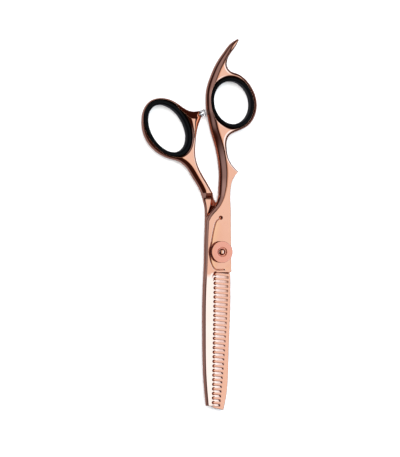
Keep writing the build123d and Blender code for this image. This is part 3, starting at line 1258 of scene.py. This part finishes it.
    def level(self, points: Array, face: Face) -> Array:
        """Height of a face away from its edges.

        Front: the handle's level joins the plate's over the spur; below the shoulder the blade falls by a
        constant slope to the crease at the slots' roots, and by a slowly growing one from there to the tooth
        tips; a hollow sinks gently towards its own line, which a fine groove follows; a cone marks its upper
        end, and smaller ones the ends of the slots.
        Back: the cutting face, and beyond the crossing of the halves the handle's underside.

        Args:
            points: places in the plan.
            face: which face.

        Returns:
            The height at each place.
        """
        x, y = points.T
        tang = smooth_step(y, *self.tang_span)
        if face is Face.BACK:
            deep = smooth_step(y, *self.deep_span)
            return self.cut_face + (self.handle_low - self.cut_face) * deep + self.tang_falls[1] * tang
        step = smooth_step(y, *self.step_span)
        z = self.top + (self.handle_top - self.top) * step - self.tang_falls[0] * tang
        spread = 0.15 + 2.7 * smooth_step(self.crease_x - x, 0.0, 3.0)
        ground = smooth_step((self.grind_y - y - 0.35 * spread) / spread, -1.0, 1.0)
        right = np.maximum(0.0, x - self.crease_x)
        fall = self.back_fall * (x - self.grind_x - right) + self.tooth_fall * right
        z -= ground * (fall + self.tooth_bend * right**2)
        z -= self.nose_fall * smooth_step(-y, *self.nose_span)
        return z - self.hollow_depth(points) - self.dimple_cut(points) - self.tooth_cuts(points)

    def hollow_depth(self, points: Array) -> Array:
        """Depth of the hollow and its groove.

        The hollow falls off from its line as exp(-distance / reach), on one side of it. The groove is the
        bell curve exp(-(distance / width)^2) on both.

        Args:
            points: places in the plan.

        Returns:
            The depth at each place.
        """
        depth = np.zeros(len(points))
        near = np.flatnonzero((np.abs(points[:, 1] - 3.5) < 13.0) & (points[:, 0] > -7.0))
        if not len(near):
            return depth
        distance, _, _ = self.hollow().nearest(points[near])
        x, y = points[near].T
        fade = smooth_step(-y, *self.hollow_top) * smooth_step(y, *self.hollow_foot)
        groove = np.exp(-((distance / self.groove_width) ** 2)) * (1 - smooth_step(x, *self.groove_end))
        hollow = fade * self.hollow_side(points[near]) * np.exp(-distance / self.hollow_reach)
        depth[near] = self.hollow_deep * hollow + self.groove_deep * groove
        return depth

    def hollow_side(self, points: Array) -> Array:
        """1 inside the hollow and 0 outside, changing over a hair's breadth.

        Args:
            points: places in the plan.

        Returns:
            The share at each place.
        """
        line = self.hollow().places
        turn = int(line[:, 0].argmin())
        upper = np.interp(points[:, 1], line[turn::-1, 1], line[turn::-1, 0])
        lower = np.interp(points[:, 1], line[:turn:-1, 1], line[:turn:-1, 0])
        edge = np.where(points[:, 1] > line[turn, 1], upper, lower)
        return smooth_step(points[:, 0] - edge, -0.03, 0.03)

    def dimple_cut(self, points: Array) -> Array:
        """Depth of the round dimple, the cone that a drill's point leaves."""
        r = np.linalg.norm(points - self.dimple, axis=1) / self.dimple_radius
        return self.dimple_depth * np.clip(1.0 - r, 0.0, None)

    def notch_places(self) -> Array:
        """Middles of the small notches at the slots' mouths."""
        along, across = self.slot_axes()
        inset = self.notch_in * along + self.notch_down * across
        return np.array([self.mouth(k, -1) - inset for k in range(self.slots)])

    def notch_sizes(self) -> Array:
        """Radii of the notches, which grow towards the nose."""
        return np.linspace(*self.notch_radii, self.slots)

    def pit_places(self) -> Array:
        """Middles of the drilled pits in which the slots end, and of the one that the nose cuts through."""
        return np.array([self.root(k) - [self.pit_back, 0.0] for k in range(self.slots + 1)])

    def tooth_cuts(self, points: Array) -> Array:
        """Depth of the cones ground into each tooth's upper corner at its tip, and of the slots' pits.

        Args:
            points: places in the plan.

        Returns:
            The depth at each place.
        """
        near = np.flatnonzero(points[:, 1] < self.blade_start)
        depth = np.zeros(len(points))
        if len(near):
            r = np.linalg.norm(points[near, None] - self.notch_places()[None], axis=2)
            depth[near] = self.notch_steepness * np.clip(self.notch_sizes() - r, 0.0, None).max(1)
            r = np.linalg.norm(points[near, None] - self.pit_places()[None], axis=2).min(1)
            depth[near] += self.pit_steepness * np.clip(self.pit_radius - r, 0.0, None)
        return depth

    def detail_points(self, face: Face) -> Array:
        """Rows beside the hollow's line, the shoulder's step and the crease, and rings round every cone.

        Args:
            face: which face.

        Returns:
            The points, none on the back.
        """
        if face is Face.BACK:
            return np.zeros((0, 2))
        line = self.hollow()
        offsets = (-0.5, -0.36, -0.22, -0.1, 0.0, 0.1, 0.22, 0.36, 0.5)
        beside = [line.places + o * line.inward for o in offsets]
        x = np.arange(self.crease_x, 5.0, 0.25)
        below = (-0.1, 0.0, 0.06, 0.12, 0.25)
        steps = [np.column_stack([x, np.full_like(x, self.blade_start - o)]) for o in below]
        y = np.arange(-70.0, self.blade_start, 0.4)
        crease = [np.column_stack([np.full_like(y, self.crease_x + o), y]) for o in (-0.05, 0.05)]
        turn = np.linspace(0.0, 2 * np.pi, 28, endpoint=False)
        circle = np.column_stack([np.cos(turn), np.sin(turn)])
        shares = (0.3, 0.55, 0.75, 0.9, 1.0, 1.08)
        rings = [self.dimple + circle * self.dimple_radius * r for r in shares]
        rings += [
            place + circle[::2] * size * r
            for place, size in zip(self.notch_places(), self.notch_sizes())
            for r in (0.1, 0.5, 0.97, 1.06)
        ]
        rings += [
            place + circle[::2] * self.pit_radius * r
            for place in self.pit_places()
            for r in (0.06, 0.5, 0.97, 1.05)
        ]
        return np.vstack(beside + steps + crease + rings)


@dataclass
class ThumbHalf(Forging):
    """Rear half: thumb ring, bumper spur, pivot plate and plain blade."""

    name: str = "thumb_half_polished"
    plate_top: float = 3.2
    handle_top: float = 6.15
    handle_low: float = 0.35
    ring_centre: tuple = (-24.22, 55.64)
    ring_tilt: float = 122.3
    seat: tuple = (13.8, 9.45)
    ring_hole: tuple = (11.6, 7.7)
    bore: float = 4.23
    blade_start: float = -9.1
    shoulder: tuple = ((23.7, 24.4, 26.6), (0.0, 0.1, 1.0))
    scoop_start: tuple = ((16.0, 18.0, 21.0, 24.0, 27.0), (-5.6, -4.9, -4.0, -3.6, -3.4))
    scoop_end: tuple = ((14.2, 17.2, 20.7, 24.8), (-6.4, -4.9, -2.15, -0.42))
    scoop_fall: float = 0.55
    scoop_width: float = 4.0
    scoop_wall: tuple = (0.45, 0.8)
    scoop_foot: tuple = (14.5, 17.0)
    deep_span: tuple = (22.0, 32.0)
    grind_fall: float = 0.362
    grind_x: float = 5.0
    left_side: tuple = (
        (-18.1, 66.2), (-22.3, 68.6), (-26.8, 69.4), (-31.6, 68.2), (-35.0, 63.9), (-35.9, 58.7),
        (-35.0, 53.0), (-32.1, 47.9), (-27.8, 44.2), (-23.2, 42.1), (-18.6, 40.8), (-15.2, 38.2),
        (-12.2, 33.8), (-9.4, 29.4), (-7.3, 25.0), (-6.0, 20.5), (-5.8, 16.0),
    )
    cutting_edge: tuple = ((-1.7, -9.1), (-2.0, -40.0), (-2.7, -70.5))
    blade_back: tuple = ((2.3, -71.6), (3.5, -66.0), (4.75, -46.0), (5.5, -28.0), (5.6, -11.0))
    right_side: tuple = (
        (4.3, 12.5), (2.2, 18.0), (-1.2, 22.8), (-4.4, 28.6), (-7.6, 34.0), (-10.3, 39.2), (-11.4, 43.8),
        (-11.3, 48.5), (-10.7, 53.2), (-9.6, 57.2), (-8.25, 60.7),
    )
    spur_top: tuple = ((-9.35, 63.7), (-12.6, 63.5), (-15.4, 64.5), (-18.1, 66.2))

    def loop(self) -> list[Run]:
        """Ring and shank, plate, plain blade, and the inner side up to the bumper's spur."""
        left = changing(
            (16.0, 0.4, 0.35, 0.5), (23.0, 0.5, 0.4, 0.5), (27.0, 1.8, 1.8, 0.5, 0.1),
            (34.0, 2.0, 2.2, 0.5, 0.15), (41.0, 2.1, 2.4, 0.4, 0.1), (46.0, 3.0, 2.6, 0.1),
            (60.0, 3.3, 2.65, 0.0), (69.5, 3.0, 2.6, 0.0),
        )
        right = changing(
            (12.5, 0.1, 0.08, 0.5), (22.8, 0.12, 0.1, 0.5), (28.0, 1.1, 1.0, 0.3), (34.0, 1.2, 1.1, 0.3),
            (42.0, 1.0, 1.1, 0.1), (50.0, 0.9, 1.3, 0.1), (55.0, 1.6, 2.0, 0.5), (58.0, 2.6, 2.5, 0.7),
            (60.7, 3.4, 2.65, 0.8),
        )
        spur = even(3.4, 2.65, 0.8)
        plate, plate_back = even(0.15, 0.1, 0.5), even(0.6, 0.5, 0.6)
        heel, flank = (-5.9, -7.0), (4.8, -7.0)
        return [
            Run.curve(self.left_side, left, left),
            Run.line(self.left_side[-1], heel, even(0.3, 0.25, 0.5), plate_back),
            Run.line(heel, self.cutting_edge[0], plate, plate),
            Run.curve(self.cutting_edge, even(0.03, 0.02, 0.8), even(0.35, 0.3, 0.9)),
            Run.line(self.cutting_edge[-1], self.blade_back[0], plate, plate),
            Run.curve(self.blade_back, even(0.15, 0.12, 0.4), even(0.8, 0.6, 0.7)),
            Run.line(self.blade_back[-1], flank, plate, plate),
            Run.line(flank, self.right_side[0], plate, plate_back),
            Run.curve(self.right_side, right, right),
            Run.line(self.right_side[-1], self.spur_top[0], spur, spur),
            Run.curve(self.spur_top, spur, spur),
        ]

    def holes(self) -> list[Run]:
        """The insert's seat and the screw's bore."""
        lip = changing((50.0, 1.1, 1.1, 0.3), (56.0, 1.7, 1.8, 0.3), (62.0, 2.8, 2.4, 0.3))
        edge = even(0.05, 0.03, 0.5)
        return [
            Run.ellipse(self.ring_centre, self.seat, self.ring_tilt, (360.0, 0.0), lip, lip),
            Run.ellipse((0.0, 0.0), (self.bore, self.bore), 0.0, (360.0, 0.0), edge, edge),
        ]

    def level(self, points: Array, face: Face) -> Array:
        """Height of a face away from its edges.

        Front: flat where the halves cross, with a steep shoulder up to the handle, and beside the crossing a
        scoop that falls to the right from one line and ends in a low wall under the other half's edge.
        Back: flat under the plate; the blade's back is ground from its spine up to the cutting edge.

        Args:
            points: places in the plan.
            face: which face.

        Returns:
            The height at each place.
        """
        x, y = points.T
        if face is Face.FRONT:
            climb = np.interp(y, *self.shoulder)
            start, end = np.interp(y, *self.scoop_start), np.interp(y, *self.scoop_end)
            inside = 1 - smooth_step(x - end, *self.scoop_wall)
            depth = self.scoop_fall * np.clip(x - start, 0.0, self.scoop_width) * inside
            depth *= smooth_step(y, *self.scoop_foot) * (1 - climb)
            return self.plate_top + (self.handle_top - self.plate_top) * climb - depth
        blade = smooth_step(-y, -self.blade_start, -self.blade_start + 0.4)
        grind = 0.2 + self.grind_fall * np.maximum(0.0, self.grind_x - x)
        return self.handle_low * smooth_step(y, *self.deep_span) + blade * grind

    def detail_points(self, face: Face) -> Array:
        """Rows across the shoulder and along the scoop, or across the blade's start.

        Args:
            face: which face.

        Returns:
            The points.
        """
        x = np.arange(-12.0, 6.0, 0.3)
        front_rows = (23.65, 23.75, 24.35, 24.45, 25.5, 26.55, 26.65)
        rows = front_rows if face is Face.FRONT else (-9.05, -9.2, -9.35, -9.5)
        across = [np.column_stack([x, np.full_like(x, y)]) for y in rows]
        if face is Face.BACK:
            return np.vstack(across)
        y = np.arange(14.5, 27.0, 0.25)
        ridge = [np.column_stack([np.interp(y, *self.scoop_start) + o, y]) for o in (-0.04, 0.04)]
        wall = [np.column_stack([np.interp(y, *self.scoop_end) + o, y]) for o in (0.4, 0.5, 0.6, 0.7, 0.85)]
        return np.vstack(across + ridge + wall)


# ---------------------------------------------------------------- soft parts and hardware


@dataclass
class RingInsert:
    """Soft ring pressed into a finger ring: fat, rounded, and proud of the metal on both faces."""

    name: str
    half: Forging
    height: float = 6.5
    around: int = 220
    section: int = 44
    opening_power: float = 2.7
    metal_power: float = 6.0

    def build(self) -> bpy.types.Object:
        """Carry a rounded section round the ellipse.

        The section is a superellipse, |across|^n + |height|^n = 1, whose power n is higher on the side of the
        metal than on the side of the opening. Across runs from the opening's ellipse to the seat's.

        Returns:
            The dressed insert.
        """
        u = np.linspace(0, 2 * np.pi, self.around, endpoint=False)[:, None]
        v = np.linspace(0, 2 * np.pi, self.section, endpoint=False)[None]
        half, hole, seat = self.half, self.half.ring_hole, self.half.seat
        power = 2 / np.where(np.cos(v) < 0, self.opening_power, self.metal_power)
        across = 0.5 + 0.5 * np.sign(np.cos(v)) * np.abs(np.cos(v)) ** power
        height = np.sign(np.sin(v)) * np.abs(np.sin(v)) ** (2 / self.opening_power)
        a = (hole[0] + (seat[0] - hole[0]) * across) * np.cos(u)
        b = (hole[1] + (seat[1] - hole[1]) * across) * np.sin(u)
        turn = math.radians(half.ring_tilt)
        x = half.ring_centre[0] + a * math.cos(turn) - b * math.sin(turn)
        y = half.ring_centre[1] + a * math.sin(turn) + b * math.cos(turn)
        z = self.height / 2 * (1 + height) + 0 * u
        faces = grid_faces(self.around, self.section, True, True)
        thing = mesh_object(self.name, np.stack([x, y, z], axis=2).reshape(-1, 3), faces.tolist())
        dress(thing, RING_RUBBER)
        log.info("%s: %d points", self.name, x.size)
        return thing


@dataclass
class TensionHardware:
    """The adjusting dial and the polished end of the screw in its middle."""

    radius: float = 4.9
    top: float = 9.65
    skirt_low: float = 6.9
    cavity: float = 4.2
    web_low: float = 8.1
    waist: float = 4.5
    waist_high: float = 8.9
    recess: float = 2.1
    recess_floor: float = 8.75
    hole: float = 1.73
    cap_gap: float = 0.2
    cap_ball: float = 2.2
    cap_top: float = 9.86

    def dial(self) -> bpy.types.Object:
        """Turn the cup-shaped dial, with a fine bevel round its face and its recess."""
        corners = [
            (self.hole, self.web_low, 0.02), (self.cavity, self.web_low, 0.05),
            (self.cavity, self.skirt_low, 0.05),
            (self.radius, self.skirt_low, 0.08), (self.radius, self.skirt_low + 0.35, 0.08),
            (self.waist, self.skirt_low + 0.7, 0.1), (self.waist, self.waist_high, 0.1),
            (self.radius, self.waist_high + 0.25, 0.08), (self.radius, self.top, 0.2),
            (self.recess + 0.12, self.top, 0.1),
            (self.recess, self.top - 0.15, 0.05), (self.recess, self.recess_floor, 0.03),
            (self.hole, self.recess_floor, 0.02),
        ]
        thing = lathe("tension_dial_turned", rounded_profile(corners, 6), 200)
        dress(thing, ROSE_GOLD_DIAL)
        log.info("tension dial: %d points", len(thing.data.vertices))
        return thing

    def cap(self) -> bpy.types.Object:
        """Turn the dome, part of a ball: its points are (sin t, cos t) times the ball's radius."""
        radius = self.recess - self.cap_gap
        edge = math.asin(radius / self.cap_ball)
        t = np.linspace(edge, 0.0, 24)
        dome = np.column_stack([np.sin(t), np.cos(t) - 1.0]) * self.cap_ball + [0.0, self.cap_top]
        dome[-1, 0] = 1e-4
        foot = self.recess_floor + 0.01
        profile = np.vstack([[(1e-4, foot), (radius, foot)], dome])
        thing = lathe("screw_cap_polished", profile, 96)
        dress(thing, ROSE_GOLD)
        return thing


@dataclass
class Bumper:
    """The soft stop on the thumb ring's spur."""

    start: tuple = (-8.8, 62.2, 3.25)
    angle: float = 20.0
    radius: float = 1.6
    low: float = 0.4
    high: float = 2.7

    def build(self) -> bpy.types.Object:
        """Turn the pad about its own axis: a drum with a rounded face and a shallow waist."""
        corners = [
            (1e-4, self.low, 0.0), (self.radius - 0.1, self.low, 0.05), (self.radius, self.low + 0.2, 0.1),
            (self.radius - 0.12, (self.low + self.high) / 2, 0.4), (self.radius, self.high - 0.35, 0.15),
            (self.radius - 0.3, self.high, 0.12), (1e-4, self.high, 0.0),
        ]
        thing = lathe("bumper_pad_moulded", rounded_profile(corners, 6), 72)
        thing.data.transform(
            Matrix.Translation(Vector(self.start) * MM)
            @ Matrix.Rotation(math.radians(self.angle), 4, "Z")
            @ Matrix.Rotation(math.pi / 2, 4, "Y")
        )
        dress(thing, BUMPER_SILICONE)
        return thing


# ---------------------------------------------------------------- studio


@dataclass(frozen=True)
class Panel:
    """A soft rectangle of light: middle and half size in degrees across and along, softness, and colour.

    A colour's negative part takes that much out of the light that the panels before it left.
    """

    middle: tuple[float, float]
    half: tuple[float, float]
    softness: tuple[float, float]
    colour: tuple[float, float, float]

    def window(self, angle: Wire, axis: int) -> Wire:
        """How far an angle is inside the panel along one axis, from 0 to 1.

        Args:
            angle: the angle in degrees.
            axis: 0 for across, 1 for along.

        Returns:
            The share.
        """
        gap = angle.math("ABSOLUTE", angle - self.middle[axis])
        share = (self.half[axis] - gap) * (1.0 / self.softness[axis]) + 0.5
        return share.math("SMOOTH_MAX", share.math("SMOOTH_MIN", share, 1.0, 0.15), 0.0, 0.15)


@dataclass
class Studio:
    """Pale table, soft light from overhead that fades to a dark horizon, and a long lens."""

    aim: tuple = (-8.7, 10.58, 3.25)
    lean: float = math.radians(15.0)
    distance: float = 1500.0
    field_width: float = 180.8
    table: float = 4000.0
    table_gap: float = 0.05
    key_place: tuple = (-300.0, 400.0, 1200.0)
    key_size: float = 1600.0
    key_power: float = 45.0
    dark: tuple = (0.035, 0.01, 0.006)
    ground: tuple = (0.3, 0.29, 0.33)
    ground_top: float = 0.26
    ground_fade: float = 5.0
    panels: tuple = (
        Panel((22.0, 0.0), (32.0, 38.0), (7.0, 16.0), (0.86, 0.73, 0.62)),
        Panel((32.5, 0.0), (22.0, 36.0), (7.0, 16.0), (0.1, 0.26, 0.37)),
        Panel((34.0, -2.0), (7.5, 28.0), (8.0, 18.0), (0.3, 0.9, 1.4)),
        Panel((6.0, 0.0), (4.5, 30.0), (4.0, 14.0), (0.15, 0.34, 0.24)),
        Panel((45.0, 0.0), (6.5, 30.0), (5.0, 14.0), (-0.1, 0.22, 0.5)),
        Panel((-49.0, 0.0), (11.0, 12.0), (8.0, 10.0), (0.27, 0.3, 0.36)),
        Panel((-47.0, 32.0), (13.0, 24.0), (10.0, 12.0), (0.3, 0.3, 0.34)),
    )

    def camera(self) -> None:
        """Look down on the shears from 15 degrees to the left of the pivot's axis, +Y up."""
        data = bpy.data.cameras.new("camera")
        data.sensor_fit = "HORIZONTAL"
        data.lens = data.sensor_width * self.distance / self.field_width
        data.clip_start, data.clip_end = 0.05, 20.0
        thing = bpy.data.objects.new("camera", data)
        right = Vector((math.cos(self.lean), 0.0, math.sin(self.lean)))
        away = Vector((-math.sin(self.lean), 0.0, math.cos(self.lean)))
        axes = Matrix((right, (0.0, 1.0, 0.0), away)).transposed()
        place = Vector(self.aim) * MM + away * self.distance * MM
        thing.matrix_world = Matrix.Translation(place) @ axes.to_4x4()
        bpy.context.scene.collection.objects.link(thing)
        bpy.context.scene.camera = thing

    def floor(self) -> None:
        """Lay the table just under the shears. Polish mirrors the world's dim lower half in its place."""
        t = np.linspace(-self.table, self.table, 9)
        x, y = np.meshgrid(t, t)
        places = np.column_stack([x.ravel(), y.ravel(), np.full(x.size, -self.table_gap)])
        thing = mesh_object("table", places, grid_faces(9, 9, False, False)[:, ::-1].tolist())
        dress(thing, TABLE_PAPER)
        thing.visible_glossy = False

    def sky(self) -> None:
        """Surround the shears with soft panels in a dark room, and show plain white behind everything.

        A panel is a rectangle in two angles: from overhead towards the right, and towards the top of the
        shears. Its brightness is clamp((half width - distance from its middle) / softness + 0.5) along each.
        """
        world = bpy.data.worlds.new("studio")
        bpy.context.scene.world = world
        world.use_nodes = True
        nodes = Nodes(world.node_tree)
        parts = nodes.add("SeparateXYZ", Vector=nodes.wire(nodes.add("TexCoord"), "Generated"))
        x, y, z = (nodes.wire(parts, i) for i in range(3))
        across = x.math("DEGREES", x.math("ARCTAN2", x, z))
        along = y.math("DEGREES", y.math("ARCSINE", y))
        rise = (z + self.ground_top) * self.ground_fade
        above = z.math("MAXIMUM", z.math("MINIMUM", rise, 1.0), 0.0)
        light = nodes.mix(above, rgba(*self.ground), rgba(*self.dark))
        adding = {"data_type": "RGBA", "blend_type": "ADD"}
        for panel in self.panels:
            window = panel.window(across, 0) * panel.window(along, 1)
            sum_node = nodes.add("Mix", adding, Factor=window, A=light, B=rgba(*panel.colour))
            light = nodes.wire(sum_node, "Result")
        studio = nodes.wire(nodes.add("Background", Color=light, Strength=1.0))
        plain = nodes.wire(nodes.add("Background", Color=rgba(1.0, 1.0, 1.0), Strength=1.0))
        seen = nodes.wire(nodes.add("LightPath"), "Is Camera Ray")
        mixed = nodes.add("MixShader", Fac=seen)
        world.node_tree.links.new(studio.socket, mixed.inputs[1])
        world.node_tree.links.new(plain.socket, mixed.inputs[2])
        nodes.add("OutputWorld", Surface=nodes.wire(mixed))

    def lamp(self, name: str, place: tuple, size: float, power: float) -> None:
        """Hang a square soft lamp that looks at the pivot.

        Args:
            name: the lamp's name.
            place: where it hangs.
            size: length of its sides.
            power: its power in watts.
        """
        data = bpy.data.lights.new(name, "AREA")
        data.shape, data.size, data.energy = "SQUARE", size * MM, power
        thing = bpy.data.objects.new(name, data)
        spot = Vector(place) * MM
        thing.matrix_world = Matrix.Translation(spot) @ spot.to_track_quat("Z", "Y").to_matrix().to_4x4()
        thing.visible_glossy = False
        bpy.context.scene.collection.objects.link(thing)

    def build(self) -> None:
        """Set up everything that is not the object."""
        self.camera()
        self.floor()
        self.sky()
        self.lamp("key", self.key_place, self.key_size, self.key_power)
        bpy.context.scene.view_settings.view_transform = "Standard"


# ---------------------------------------------------------------- assembly

CAD_FINISHES = {
    "bumper_stud": BARE_STEEL,
    "pivot_screw": SCREW_STEEL,
    "pivot_bushing": BUSHING_BRASS,
    "ride_washer": SLIP_PLASTIC,
    "friction_washer": SLIP_PLASTIC,
    "wave_spring": BARE_STEEL,
    "click_plate": BARE_STEEL,
    "detent_balls": BARE_STEEL,
    "detent_springs": BARE_STEEL,
}


def seat_piece(thing: bpy.types.Object, body: str, node: str) -> None:
    """Let a piece ride on a body in place of a CAD node.

    Args:
        thing: the finished piece.
        body: the CAD body that carries it.
        node: the CAD node that it stands for.
    """
    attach(thing, body)
    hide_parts(node)
    log.info("%s stands for %s on %s", thing.name, node, body)


def main() -> None:
    """Build the studio and the shears."""
    logging.basicConfig(level=logging.INFO, format="%(name)s: %(message)s")
    Studio().build()
    finger, thumb, hardware = FingerHalf(), ThumbHalf(), TensionHardware()
    finger_insert = RingInsert("finger_insert_moulded", finger)
    thumb_insert = RingInsert("thumb_insert_moulded", thumb)
    seat_piece(finger.build(), "finger_side", "finger_half")
    seat_piece(thumb.build(), "thumb_side", "thumb_half")
    seat_piece(finger_insert.build(), "finger_side", "finger_ring_insert")
    seat_piece(thumb_insert.build(), "thumb_side", "thumb_ring_insert")
    seat_piece(hardware.dial(), "dial", "tension_dial")
    seat_piece(hardware.cap(), "dial", "screw_cap")
    seat_piece(Bumper().build(), "thumb_side", "bumper_pad")
    for node, finish in CAD_FINISHES.items():
        dress(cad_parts[node], finish)
        log.info("%s dressed as %s", node, finish.name)


if __name__ == "__main__":
    main()
